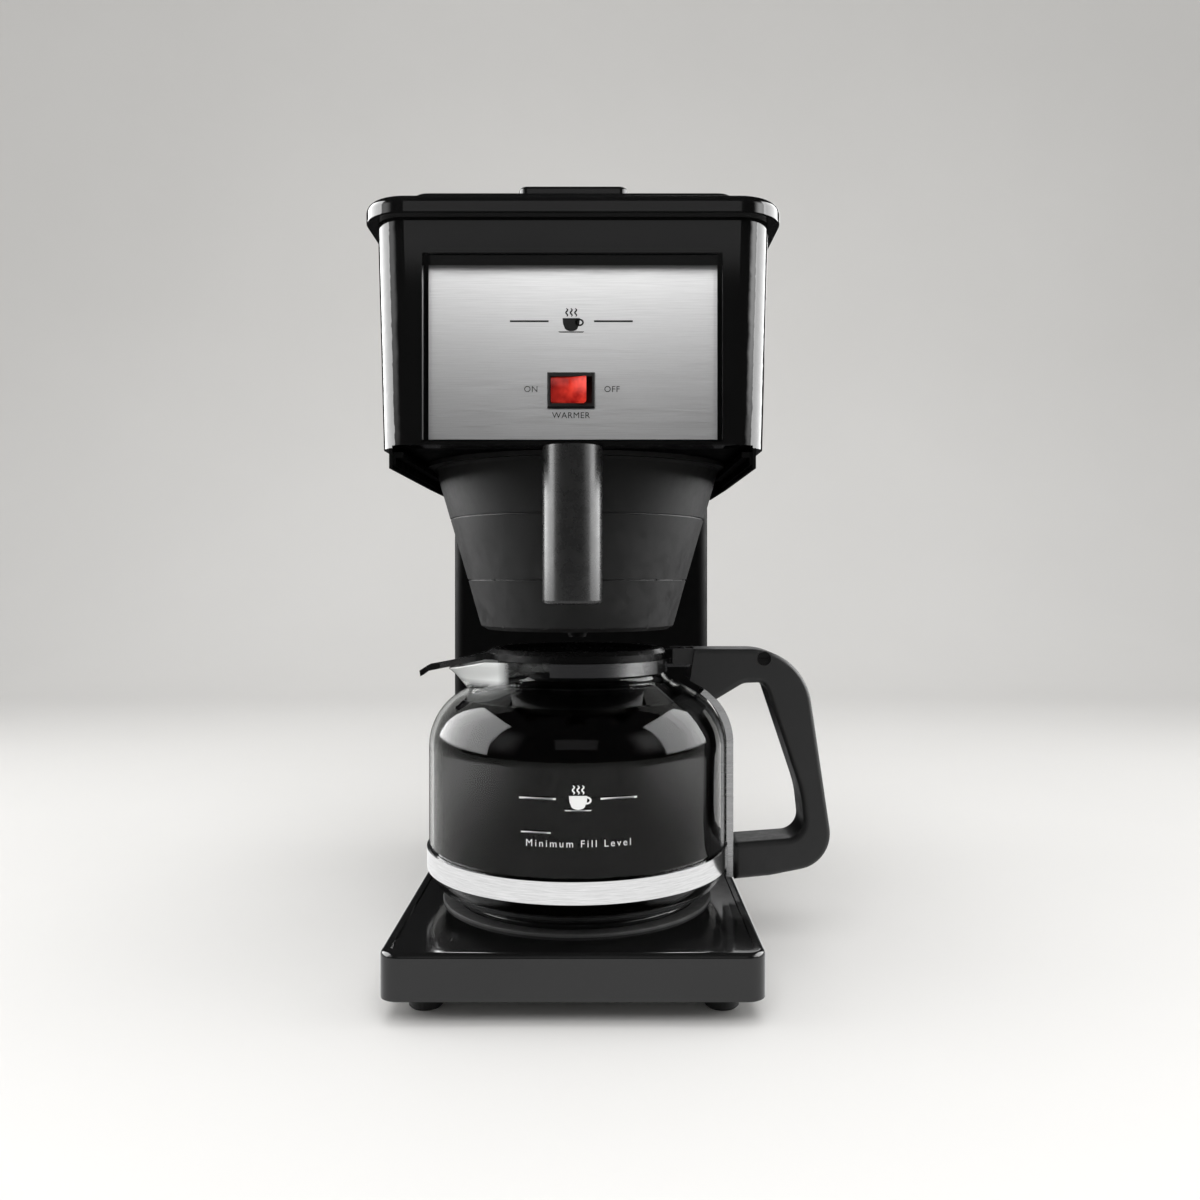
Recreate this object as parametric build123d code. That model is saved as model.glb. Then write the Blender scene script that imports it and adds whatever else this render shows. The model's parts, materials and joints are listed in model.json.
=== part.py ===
from build123d import *
import os
from math import cos, pi, radians, sin

# Drip coffee maker with a hot water tank, a slide-in brew funnel and a glass carafe.
# It is drawn in millimetres with +Z up about the carafe's axis: X = 0 is the middle of the machine,
# Y = 0 the axis of the carafe and the funnel, the front faces -Y and the feet stand on Z = 0.
# At the end every piece moves by the same step, so that the origin is in the middle of the footprint.

# ---- driving dimensions ----
HEIGHT = 378.0            # feet to the top of the lid's tab
FRONT = -93.4             # front plane of base and hood
REAR = 239.0              # rear plane of base, tower and hood
RIM_HALF = 93.9           # half width of the top rim
RIM_FRONT = -98.4
RIM_REAR = 244.6
RIM_RADIUS = 20.0
RIM_BOTTOM = 358.8
RIM_TOP = 367.5
HANDLE_REACH = 132.3      # furthest point of the carafe handle from the mid-plane
FUNNEL_REACH = 105.4      # front of the funnel handle, ahead of the funnel's axis
WALL = 2.5
FIT = 0.05                # radial clearance of pins and screws in their holes

BASE_HALF = 86.6
BASE_BOTTOM = 11.8
BASE_TOP = 33.0
FOOT_X = 69.0
FOOT_INSET = 26.0         # feet to the front and rear planes
FOOT_RADIUS = 8.0
SCREW_RADIUS = 2.0

TOWER_HALF = 78.9
TOWER_FRONT = 88.6
HOOD_BOTTOM = 257.0
HOOD_HALF_LOW = 85.9
HOOD_HALF_HIGH = 88.6
HOOD_RADIUS = 14.0
LIP_BOTTOM = 258.1        # underside of the hood between its front corners
UNDERSIDE_TOP = 260.1
SKIRT_HALF = 81.6
SKIRT_BOTTOM = 248.0
SKIRT_WALL = 1.5

RECESS_HALF = 66.4
RECESS_LOW = 259.7
RECESS_HIGH = 343.0
RECESS_DEPTH = 11.0
PANEL_HALF = 65.2
PANEL_LOW = 261.8
PANEL_HIGH = 340.4
PANEL_THICKNESS = 1.0

SWITCH_X = -0.8
SWITCH_Z = 284.0
TANK_SWITCH_X = 45.0
TANK_SWITCH_Z = 70.0
BEZEL_HALF = (10.8, 8.0)
ROCKER_TILT = 12.0        # the rocker leans this far to each side of the middle

LID_HALF = 73.6
LID_FRONT = -84.0
LID_REAR = 186.0
LID_BOTTOM = 367.8
LID_TOP = 373.5
TAB_HALF = 24.8
HINGE_Y = 190.0
HINGE_Z = 371.4
KNUCKLE_RADIUS = 3.2

OPENING_HALF = 71.5       # filling opening in the rim
OPENING_FRONT = -79.5
OPENING_REAR = 181.0
BASIN_HALF = 70.0
BASIN_FRONT = -74.0
BASIN_REAR = 178.0
BASIN_FLOOR = 303.0
VALVE_Y = 150.0

TANK_HALF = 57.0
TANK_Y = 155.0
TANK_BOTTOM = 55.0
TANK_TOP = 250.0
SPRAY_Y = 112.0

WARMER_RADIUS = 63.0
WARMER_TOP = 36.2
WARMER_RING_RADIUS = 70.6

FLANGE_RADIUS = 79.6
FLANGE_TOP = 257.8
FUNNEL_TOP_RADIUS = 73.8
FUNNEL_BOTTOM_RADIUS = 50.5
FUNNEL_TOP = 256.0
FUNNEL_BOTTOM = 172.8
NUB_BOTTOM = 168.2
FUNNEL_WALL = 2.2

GLASS_RADIUS = 78.0
GLASS_BOTTOM = 36.5
GLASS_WALL = 2.2
NECK_RADIUS = 46.0
NECK_TOP = 157.0
LIP_SLOPE = 0.2166
LIP_ROUNDING = 0.5
SHOULDER_Z = 112.0
CARAFE_HINGE = (56.0, 158.6)
HANDLE_HALF = 13.0
HANDLE_TOP = 162.5
HANDLE_ROUNDING = 2.5
OPENING_ROUNDING = 3.0
HANDLE_SCREW = (97.5, 157.5)
BAND_SCREW = (90.0, 51.4)

FOOTPRINT_X = (RIM_HALF - HANDLE_REACH) / 2
FOOTPRINT_Y = (FUNNEL_REACH - RIM_REAR) / 2
TO_ORIGIN = Pos(FOOTPRINT_X, FOOTPRINT_Y, 0)

nodes = {}


# ---- shape helpers ----
def block(x0, x1, y0, y1, z0, z1):
    """A box between two values on each axis."""
    middle = Pos((x0 + x1) / 2, (y0 + y1) / 2, (z0 + z1) / 2)
    return middle * Box(x1 - x0, y1 - y0, z1 - z0)


def disc(radius, z0, z1, x=0.0, y=0.0):
    return Pos(x, y, (z0 + z1) / 2) * Cylinder(radius, z1 - z0)


def ring(inner, outer, z0, z1, x=0.0, y=0.0):
    return disc(outer, z0, z1, x, y) - disc(inner, z0 - 1, z1 + 1, x, y)


def rod_x(radius, x0, x1, y, z):
    return Pos((x0 + x1) / 2, y, z) * Rot(0, 90, 0) * Cylinder(radius, x1 - x0)


def rod_y(radius, y0, y1, x, z):
    return Pos(x, (y0 + y1) / 2, z) * Rot(90, 0, 0) * Cylinder(radius, y1 - y0)


def rounded(half_x, y0, y1, z0, z1, radius):
    """An upright block with rounded vertical edges, centred on X = 0."""
    outline = RectangleRounded(2 * half_x, y1 - y0, radius)
    return Pos(0, (y0 + y1) / 2, z0) * extrude(outline, z1 - z0)


def turned(*edges):
    """A solid of revolution about Z from edges that close an outline in the XZ plane."""
    return revolve(make_face(list(edges)), Axis.Z)


def turned_outline(*points):
    return revolve(make_face(Polyline(*[(x, 0, z) for x, z in points], close=True)), Axis.Z)


def slab(outline, half_y):
    """A plate of an XZ outline, half_y thick on each side of the mid-plane."""
    return extrude(outline, half_y, both=True)


def tube(points, bend, outer, inner):
    """A round tube, or a rod where inner is 0, along straight runs joined by bends."""
    path = FilletPolyline(*points, radius=bend)
    section = Plane(path @ 0, z_dir=path % 0) * Circle(outer)
    if inner:
        section -= Plane(path @ 0, z_dir=path % 0) * Circle(inner)
    return sweep(section, path)


def both_sides(shape):
    return [shape, mirror(shape, Plane.YZ)]


def top_edges(shape):
    return shape.edges().group_by(Axis.Z)[-1]


def bottom_edges(shape):
    return shape.edges().group_by(Axis.Z)[0]


# ---- base ----
def foot_places():
    rows = (FRONT + FOOT_INSET, REAR - FOOT_INSET)
    return [(x, y) for x in (-FOOT_X, FOOT_X) for y in rows]


def make_base():
    shell = rounded(BASE_HALF, FRONT, REAR, BASE_BOTTOM, BASE_TOP, 9)
    shell = fillet(top_edges(shell), 2.5)
    roof = BASE_TOP - 3.0
    shell -= rounded(BASE_HALF - WALL, FRONT + WALL, REAR - WALL, BASE_BOTTOM - 1, roof, 9 - WALL)
    inset = 4.6
    shell -= rounded(BASE_HALF - inset, FRONT + inset, TOWER_FRONT - 1.5, BASE_TOP - 0.8, BASE_TOP + 1, 5)
    shell -= disc(66.0, roof - 1, BASE_TOP + 1)
    shell -= block(-44, 44, 112, 198, roof - 1, BASE_TOP + 1)
    for x, y in foot_places():
        shell += disc(5.0, BASE_BOTTOM + 2.0, roof, x, y)
        shell -= disc(SCREW_RADIUS + FIT, BASE_BOTTOM - 1, BASE_BOTTOM + 14, x, y)
    nodes["base_shell"] = shell

    plate = rounded(BASE_HALF - WALL - 0.2, FRONT + WALL + 0.2, REAR - WALL - 0.2,
                    BASE_BOTTOM, BASE_BOTTOM + 2.0, 6)
    for x, y in foot_places():
        plate -= disc(SCREW_RADIUS + FIT, BASE_BOTTOM - 1, BASE_BOTTOM + 3, x, y)
    for row in range(7):
        y = -36 + 12 * row
        plate -= block(-30, 30, y - 2, y + 2, BASE_BOTTOM - 1, BASE_BOTTOM + 3)
    nodes["base_plate"] = plate

    feet = []
    screws = []
    for x, y in foot_places():
        foot = disc(FOOT_RADIUS, 0, BASE_BOTTOM, x, y)
        foot = chamfer(bottom_edges(foot), 1.0)
        foot -= disc(4.4, -1, 5.5, x, y)
        foot -= disc(SCREW_RADIUS + FIT, 5, BASE_BOTTOM + 1, x, y)
        feet.append(foot)
        head = disc(3.8, 3.0, 5.5, x, y) - block(x - 0.5, x + 0.5, y - 3, y + 3, 2, 4)
        screws.append(head + disc(SCREW_RADIUS, 5.5, BASE_BOTTOM + 12, x, y))
    nodes["feet"] = Compound(children=feet)
    nodes["foot_screws"] = Compound(children=screws)


def make_warmer():
    plate = disc(WARMER_RADIUS, BASE_TOP, WARMER_TOP)
    plate = fillet(top_edges(plate), 1.4)
    plate -= disc(WARMER_RADIUS - 1.6, BASE_TOP - 1, WARMER_TOP - 2.0)
    nodes["warmer_plate"] = plate

    rim = ring(WARMER_RADIUS + 0.3, 65.9, 27.5, BASE_TOP)
    flange = disc(WARMER_RING_RADIUS, BASE_TOP - 0.8, BASE_TOP + 0.6)
    flange = fillet(top_edges(flange), 0.6)
    nodes["warmer_ring"] = rim + (flange - disc(WARMER_RADIUS + 0.3, BASE_TOP - 2, BASE_TOP + 2))

    heater_top = WARMER_TOP - 2.0
    heater = Pos(0, 0, heater_top - 3.5) * Torus(46, 3.5)
    for x in (-8.0, 8.0):
        heater += rod_y(2.0, 46, 66, x, heater_top - 3.5) & block(-60, 60, 40, 60, 0, 99)
    nodes["warmer_heater"] = heater
    body = disc(10, 24, heater_top)
    nodes["warmer_thermostat"] = body + both_blades(10, 14, 0, 26)


def both_blades(x0, x1, y, z):
    """Two flat terminals, one each side of a thermostat."""
    right = block(x0 - 0.5, x1, y - 3, y + 3, z, z + 0.8)
    return right + mirror(right, Plane.YZ)


# ---- tower and hood ----
def make_tower():
    shell = rounded(TOWER_HALF, TOWER_FRONT, REAR + 20, BASE_TOP, LIP_BOTTOM, 6)
    inner = TOWER_HALF - WALL
    shell -= block(-inner, inner, TOWER_FRONT + WALL, REAR + 30, BASE_TOP - 1, LIP_BOTTOM + 1)
    shell -= block(-99, 99, REAR - WALL, REAR + 30, BASE_TOP - 1, LIP_BOTTOM + 1)
    screws = []
    shell -= block(-99, 99, REAR - 16, REAR + 30, HOOD_BOTTOM - 0.1, LIP_BOTTOM + 1)
    cover = block(-TOWER_HALF, TOWER_HALF, REAR - WALL, REAR, BASE_TOP, HOOD_BOTTOM - 0.1)
    for x in (-70.5, 70.5):
        side = block(x - 4.5, x + 4.5, REAR - 12, REAR - WALL, BASE_TOP, HOOD_BOTTOM - 0.1)
        shell += side & block(-inner - 0.5, inner + 0.5, 0, 300, 0, 400)
        for z in (45, 145, 245):
            shell -= rod_y(1.5 + FIT, REAR - 12.5, REAR, x, z)
            cover -= rod_y(1.5 + FIT, REAR - 5, REAR + 1, x, z)
            screws.append(rod_y(3.0, REAR, REAR + 1.8, x, z) + rod_y(1.5, REAR - 11, REAR, x, z))
    nodes["tower_shell"] = shell
    cover -= rod_y(9.0, REAR - 5, REAR + 1, -48, 52)
    for row in range(8):
        z = 172 + 9 * row
        cover -= block(-42, 42, REAR - 5, REAR + 1, z - 1.6, z + 1.6)
    cover -= block(TANK_SWITCH_X - 10.1, TANK_SWITCH_X + 10.1, REAR - 5, REAR + 1,
                   TANK_SWITCH_Z - 7.2, TANK_SWITCH_Z + 7.2)
    nodes["back_cover"] = cover
    nodes["cover_screws"] = Compound(children=screws)

    inlet = rod_y(11.5, REAR + 0.02, REAR + 3.5, -48, 52) + rod_y(8.9, REAR - 5, REAR + 1, -48, 52)
    inlet += rod_y(11.0, REAR - 5, REAR - WALL - 0.02, -48, 52)
    nodes["cord_inlet_grommet"] = inlet - rod_y(4.0, REAR - 8, REAR + 8, -48, 52)
    terminals = block(-24, 24, 204, 220, BASE_BOTTOM + 2.0, 24)
    for column in range(4):
        terminals -= disc(2.6, 19, 25, -18 + 12 * column, 212)
    nodes["terminal_block"] = terminals


def hood_block(half_low, half_high, y0, y1, z0, z1, radius):
    """A block whose sides lean out from half_low to half_high."""
    middle = (y0 + y1) / 2
    low = Pos(0, middle, z0) * RectangleRounded(2 * half_low, y1 - y0, radius)
    high = Pos(0, middle, z1) * RectangleRounded(2 * half_high, y1 - y0, radius)
    return loft([low, high])


def make_hood():
    outer = hood_block(HOOD_HALF_LOW, HOOD_HALF_HIGH, FRONT, REAR, HOOD_BOTTOM, RIM_BOTTOM, HOOD_RADIUS)
    hollow = hood_block(HOOD_HALF_LOW - WALL, HOOD_HALF_HIGH - WALL, FRONT + WALL, REAR - WALL,
                        HOOD_BOTTOM, RIM_BOTTOM, HOOD_RADIUS - WALL)
    shell = outer - hollow
    back = FRONT + RECESS_DEPTH
    tray = block(-RECESS_HALF - 1.5, RECESS_HALF + 1.5, FRONT + 0.5, back + 1.5,
                 LIP_BOTTOM, RECESS_HIGH + 1.5)
    shell += tray
    shell -= block(-RECESS_HALF, RECESS_HALF, FRONT - 5, back, RECESS_LOW, RECESS_HIGH)
    shell -= block(-80.2, 80.2, FRONT - 5, FRONT + 12, HOOD_BOTTOM - 5, LIP_BOTTOM)
    shell -= block(SWITCH_X - 10.1, SWITCH_X + 10.1, back - 2, back + 5, SWITCH_Z - 7.2, SWITCH_Z + 7.2)
    nodes["hood_shell"] = shell

    panel = block(-PANEL_HALF, PANEL_HALF, back - PANEL_THICKNESS, back, PANEL_LOW, PANEL_HIGH)
    panel -= block(SWITCH_X - 10.1, SWITCH_X + 10.1, back - 2, back + 5, SWITCH_Z - 7.2, SWITCH_Z + 7.2)
    nodes["front_panel"] = panel

    half = HOOD_HALF_LOW - WALL - 0.2
    floor = block(-half, half, back + 1.7, REAR - WALL - 0.2, LIP_BOTTOM, UNDERSIDE_TOP)
    floor -= block(-99, -half + 12, REAR - 12, REAR, 0, 400)
    floor -= block(half - 12, 99, REAR - 12, REAR, 0, 400)
    floor -= disc(24.0, LIP_BOTTOM - 1, UNDERSIDE_TOP + 1)
    floor -= block(-70, 70, TOWER_FRONT + 8, REAR - 14, LIP_BOTTOM - 1, UNDERSIDE_TOP + 1)
    front = FRONT + 3.0
    outline = Polyline((SKIRT_HALF, front), (SKIRT_HALF, 20), (TOWER_HALF + 1.5, TOWER_FRONT - 0.3),
                       (TOWER_HALF, TOWER_FRONT - 0.3), (SKIRT_HALF - SKIRT_WALL, 20),
                       (SKIRT_HALF - SKIRT_WALL, front), close=True)
    skirt = Pos(0, 0, SKIRT_BOTTOM) * extrude(make_face(outline), HOOD_BOTTOM - SKIRT_BOTTOM)
    web = Pos(0, 0, HOOD_BOTTOM) * extrude(make_face(outline), LIP_BOTTOM + 0.5 - HOOD_BOTTOM)
    web = web & block(0, half, back + 1.7, 300, 0, 400)
    for side in both_sides(skirt + web):
        floor += side
    nodes["hood_underside"] = floor

    rail_outer = SKIRT_HALF - SKIRT_WALL
    rail = block(75.4, rail_outer, front + 1, 20, 252.9, 255.3)
    rail += block(rail_outer - 1.2, rail_outer, front + 1, 20, 249.5, 252.9)
    nodes["funnel_rail_right"], nodes["funnel_rail_left"] = both_sides(rail)


def make_rim():
    rim = rounded(RIM_HALF, RIM_FRONT, RIM_REAR, RIM_BOTTOM, RIM_TOP, RIM_RADIUS)
    rim = fillet(top_edges(rim), 4.0)
    rim = fillet(bottom_edges(rim), 0.7)
    rim -= block(-83.0, 83.0, FRONT + 6, REAR - 6, RIM_BOTTOM - 1, RIM_TOP - 2.5)
    rim -= block(-OPENING_HALF, OPENING_HALF, OPENING_FRONT, OPENING_REAR, RIM_BOTTOM, RIM_TOP + 1)
    pins = []
    for side in (-1, 1):
        for near, far in ((34.0, 39.7), (60.3, 66.0)):
            x0, x1 = sorted((side * near, side * far))
            rim += block(x0, x1, HINGE_Y - KNUCKLE_RADIUS, HINGE_Y + KNUCKLE_RADIUS, RIM_TOP - 0.5, HINGE_Z)
            rim += rod_x(KNUCKLE_RADIUS, x0, x1, HINGE_Y, HINGE_Z)
        x0, x1 = sorted((side * 34.5, side * 66.0))
        rim -= rod_x(1.32, x0, x1, HINGE_Y, HINGE_Z)
        pins.append(rod_x(1.3, x0, x1, HINGE_Y, HINGE_Z))
    nodes["top_rim"] = rim
    nodes["lid_hinge_pins"] = Compound(children=pins)


def make_lid():
    lid = rounded(LID_HALF, LID_FRONT, LID_REAR, LID_BOTTOM, LID_TOP, 8)
    lid = fillet(top_edges(lid), 2.4)
    lid -= rounded(LID_HALF - WALL, LID_FRONT + WALL, LID_REAR - WALL, LID_BOTTOM - 1, LID_TOP - WALL, 6)
    skirt = rounded(69.3, BASIN_FRONT + 0.7, 165, 363, LID_TOP - 1, 8)
    lid += skirt - rounded(67.5, BASIN_FRONT + 2.5, 163.2, 362, LID_TOP - WALL, 7)
    lid += disc(6.0, 362.0, LID_TOP - 1, 0, VALVE_Y)
    tab = rounded(TAB_HALF, -79.5, -66.5, LID_TOP - 1, HEIGHT, 4)
    lid += fillet(top_edges(tab), 1.6)
    for side in (-1, 1):
        x0, x1 = sorted((side * 40.0, side * 60.0))
        lid += rod_x(KNUCKLE_RADIUS, x0, x1, HINGE_Y, HINGE_Z)
        lid += block(x0, x1, LID_REAR - WALL, HINGE_Y, HINGE_Z - 1.2, HINGE_Z + 1.8)
        lid -= rod_x(1.3 + FIT, x0 - 1, x1 + 1, HINGE_Y, HINGE_Z)
    nodes["reservoir_lid"] = lid


# ---- water system ----
def make_basin():
    basin = rounded(BASIN_HALF + WALL, BASIN_FRONT - WALL, BASIN_REAR + WALL, BASIN_FLOOR, RIM_TOP - 2.5, 12)
    flange = rounded(BASIN_HALF + 8, BASIN_FRONT - 7, BASIN_REAR + 8, RIM_TOP - 4.5, RIM_TOP - 2.5, 14)
    basin += flange
    basin -= rounded(BASIN_HALF, BASIN_FRONT, BASIN_REAR, BASIN_FLOOR + WALL, RIM_TOP, 10)
    basin -= disc(12.1, BASIN_FLOOR - 1, BASIN_FLOOR + 4, 0, VALVE_Y)
    nodes["reservoir_basin"] = basin

    floor = BASIN_FLOOR + WALL
    seat = disc(16, floor, floor + 3, 0, VALVE_Y) + disc(12, 282, floor, 0, VALVE_Y)
    seat -= disc(9.0, 286.5, 301.3, 0, VALVE_Y)
    seat -= disc(5.5, 300, floor + 4, 0, VALVE_Y)
    seat -= disc(6.05, 281, 287, 0, VALVE_Y)
    nodes["valve_seat"] = seat
    nodes["valve_gasket"] = ring(12.1, 17, BASIN_FLOOR - 2.5, BASIN_FLOOR, 0, VALVE_Y)
    nut = extrude(Pos(0, VALVE_Y, BASIN_FLOOR - 7.5) * RegularPolygon(19, 6), 5)
    nodes["valve_nut"] = nut - disc(12.1, 290, 305, 0, VALVE_Y)

    rod_top = 361.7
    stem = disc(8.0, 290.3, 293.8, 0, VALVE_Y) + disc(2.5, 293.8, rod_top, 0, VALVE_Y)
    stem += disc(8.0, 321, 323.2, 0, VALVE_Y)
    for turn in range(4):
        fin = block(2, 7.5, -0.8, 0.8, 323.2, 331)
        stem += Pos(0, VALVE_Y, 0) * Rot(0, 0, 90 * turn) * fin
    nodes["valve_stem"] = stem
    nodes["valve_seal"] = ring(2.55, 7.6, 293.8, 295.0, 0, VALVE_Y)
    wire = Helix(pitch=2.9, height=10.9, radius=6.9)
    coil = sweep(Plane(wire @ 0, z_dir=wire % 0) * Circle(0.45), wire, is_frenet=True)
    nodes["valve_spring"] = Pos(0, VALVE_Y, floor + 3.5) * coil
    nodes["cold_fill_tube"] = ring(4.5, 6.0, 88, 286.4, 0, VALVE_Y)


def tank_screw_places():
    places = []
    for offset in (-42, 0, 42):
        places += [(offset, TANK_Y - 59), (offset, TANK_Y + 59)]
        places += [(-59, TANK_Y + offset), (59, TANK_Y + offset)]
    return places


def make_tank():
    y0, y1 = TANK_Y - TANK_HALF, TANK_Y + TANK_HALF
    wall = 1.2
    tank = rounded(TANK_HALF, y0, y1, TANK_BOTTOM, TANK_TOP, 10)
    tank += rounded(TANK_HALF + 4.5, y0 - 4.5, y1 + 4.5, TANK_TOP - 1.2, TANK_TOP, 6)
    tank -= rounded(TANK_HALF - wall, y0 + wall, y1 - wall, TANK_BOTTOM + wall, TANK_TOP + 1, 9)
    seal = rounded(TANK_HALF + 4.5, y0 - 4.5, y1 + 4.5, TANK_TOP, TANK_TOP + 1.5, 6)
    seal -= rounded(TANK_HALF - 2, y0 + 2, y1 - 2, TANK_TOP - 1, TANK_TOP + 2, 9)
    cover = rounded(TANK_HALF + 4.5, y0 - 4.5, y1 + 4.5, TANK_TOP + 1.5, TANK_TOP + 4, 6)
    cover -= disc(6.05, 240, 260, 0, VALVE_Y)
    cover -= disc(5.05, 240, 260, 0, SPRAY_Y)
    screws = []
    for x, y in tank_screw_places():
        hole = disc(1.5 + FIT, TANK_TOP - 5, TANK_TOP + 5, x, y)
        tank -= hole
        seal -= hole
        cover -= hole
        head = disc(2.4, TANK_TOP + 4, TANK_TOP + 6, x, y)
        screws.append(head + disc(1.5, TANK_TOP - 4, TANK_TOP + 4, x, y))
    heater_legs = ((-32, 190), (32, 190))
    for x, y in heater_legs:
        cover -= disc(4.05, 240, 260, x, y)
    cover -= disc(3.55, 240, 260, 35, 130)
    nodes["hot_water_tank"] = tank
    nodes["tank_seal"] = seal
    nodes["tank_lid"] = cover
    nodes["tank_screws"] = Compound(children=screws)
    nodes["tank_heater"] = tube(((-32, 190, 262), (-32, 190, 78), (-32, 125, 78), (32, 125, 78),
                                 (32, 190, 78), (32, 190, 262)), 12, 4.0, 0)
    body = block(22, 48, 122, 138, TANK_TOP + 4, TANK_TOP + 18) + disc(3.5, 150, TANK_TOP + 5, 35, 130)
    nodes["tank_thermostat"] = body
    nodes["thermal_cutoff"] = disc(11, TANK_TOP + 4, TANK_TOP + 12, -35, 130)
    half = 50.0
    support = rounded(half, TANK_Y - half, TANK_Y + half, BASE_TOP, TANK_BOTTOM, 8)
    half -= WALL
    support -= rounded(half, TANK_Y - half, TANK_Y + half, BASE_TOP - 1, TANK_BOTTOM + 1, 6)
    nodes["tank_support"] = support


def make_sprayhead():
    path = ((0, SPRAY_Y, TANK_TOP - 6), (0, SPRAY_Y, 288), (0, 0, 288), (0, 0, 266.6))
    nodes["spray_tube"] = tube(path, 10, 5.0, 3.8)
    bottom = LIP_BOTTOM + 0.3
    head = turned_outline((0, bottom), (22, bottom), (22, 262), (7.5, 267), (7.5, 274), (5.05, 274),
                          (5.05, 266.5), (4.0, 266.5), (4.0, 264.5), (19, 260.6), (19, bottom + 1.4),
                          (0, bottom + 1.4))
    for turn in range(8):
        angle = 2 * pi * turn / 8
        head -= disc(1.1, bottom - 1, bottom + 3, 13 * cos(angle), 13 * sin(angle))
    head -= disc(1.1, bottom - 1, bottom + 3)
    nodes["sprayhead"] = head
    nodes["sprayhead_seal"] = ring(22.05, 23.95, bottom, 262)


# ---- switches ----
def rocker_solid():
    """A concave rocker with a vertical axis at the origin, in its middle position, facing -Y."""
    half, front, middle = 8.26, 5.46, 3.70
    outline = Polyline((-half, -front), (0, -middle), (half, -front), (4.6, 1.5), (-4.6, 1.5), close=True)
    rocker = Pos(0, 0, -5.9) * extrude(make_face(outline), 11.8)
    return rocker + disc(1.5, -6.7, 6.7)


def make_switch(name, x, y, z, facing, rest_tilt):
    """A rocker switch whose rocker's axis is at x, y, z; facing is the turn about Z from -Y."""
    face = -3.9
    half_x, half_z = BEZEL_HALF
    frame = block(-half_x, half_x, face, face + 1.5, -half_z, half_z)
    frame = fillet(frame.edges().group_by(Axis.Y)[0], 0.7)
    frame += block(-10.0, 10.0, face + 1, 16, -7.1, 7.1)
    frame -= block(-9.4, 9.4, face - 1, 8, -6.05, 6.05)
    frame -= disc(1.5 + FIT, -6.8, 6.8)
    place = Pos(x, y, z) * Rot(0, 0, facing)
    nodes[name + "_switch_frame"] = place * frame
    nodes[name + "_rocker"] = place * Rot(0, 0, rest_tilt) * rocker_solid()
    return [place * block(dx - 0.4, dx + 0.4, 16, 23, -3, 3) for dx in (-6.0, 0.0, 6.0)]


def make_switches():
    """The rocker's axis lies behind the switch's face by 3.9, and the frame sits on the panel's face."""
    panel_face = FRONT + RECESS_DEPTH - PANEL_THICKNESS
    blades = make_switch("warmer", SWITCH_X, panel_face - 1.5 + 3.9, SWITCH_Z, 0, -ROCKER_TILT)
    blades += make_switch("tank", TANK_SWITCH_X, REAR + 1.5 - 3.9, TANK_SWITCH_Z, 180, -ROCKER_TILT)
    nodes["switch_terminals"] = Compound(children=blades)


# ---- funnel ----
def make_funnel():
    slope = (FUNNEL_TOP_RADIUS - FUNNEL_BOTTOM_RADIUS) / (FUNNEL_TOP - FUNNEL_BOTTOM)
    step = 0.35

    def cone(z):
        return FUNNEL_BOTTOM_RADIUS + slope * (z - FUNNEL_BOTTOM)

    def seam(z, below):
        """A groove at a mould seam, above which the wall stands out by one more step."""
        r = cone(z) + below
        return (r, z), (r - 0.55, z + 0.25), (r - 0.55, z + 0.75), (r + step, z + 0.95)

    wall = FUNNEL_WALL
    floor = FUNNEL_BOTTOM + 2.5
    body = turned_outline(
        (2.2, NUB_BOTTOM), (4.6, NUB_BOTTOM), (6.0, FUNNEL_BOTTOM),
        (cone(FUNNEL_BOTTOM) - 2.5, FUNNEL_BOTTOM),
        (cone(FUNNEL_BOTTOM + 2), FUNNEL_BOTTOM + 2), *seam(197.9, 0), *seam(229.5, step),
        (cone(254.4) + 2 * step, 254.4),
        (75.0, 255.7), (FLANGE_RADIUS, 255.7), (FLANGE_RADIUS, FLANGE_TOP),
        (cone(257) - wall, FLANGE_TOP), (cone(floor) - wall, floor), (2.2, floor))
    for turn in range(12):
        rib = slab(make_face(Polyline((cone(178) - 7, 0, floor - 1), (cone(178) - 1, 0, floor - 1),
                                      (cone(240) - 1, 0, 240), (cone(240) - 3.2, 0, 240), close=True)), 0.7)
        body += Rot(0, 0, 30 * turn + 15) * rib
    nodes["funnel_body"] = body

    grip_radius = 13.25
    axis_y = -FUNNEL_REACH + grip_radius
    low, high = 187.8, 257.2
    grip = disc(grip_radius, low, high, 0, axis_y) & block(-20, 20, -FUNNEL_REACH - 1, axis_y, 0, 400)
    grip = fillet(bottom_edges(grip), 1.5)
    hollow = disc(grip_radius - 3, low + 3, high - 3, 0, axis_y)
    hollow = hollow & block(-20, 20, -FUNNEL_REACH, axis_y + 1, 0, 400)
    grip -= hollow
    bridge = block(-13.25, 13.25, axis_y - 1, -60, 252.6, high - 2.6)
    arm = grip + web_along_x(axis_y, low, high) + bridge
    cutter = turned_outline((0, 150), (cone(150) + 3 * step, 150), (cone(254.6) + 3 * step, 254.6),
                            (FLANGE_RADIUS + 0.05, 255.5), (FLANGE_RADIUS + 0.05, 270), (0, 270))
    nodes["funnel_handle"] = arm - cutter


def web_along_x(axis_y, low, high):
    """The rib behind the grip, which carries it back to the cone."""
    outline = Polyline((axis_y - 11.5, low + 6), (axis_y + 3, low + 24), (-56, 234), (-56, high - 2.6),
                       (axis_y - 11.5, high - 2.6), close=True)
    return extrude(Plane.YZ * make_face(outline), 2.2, both=True)


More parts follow.
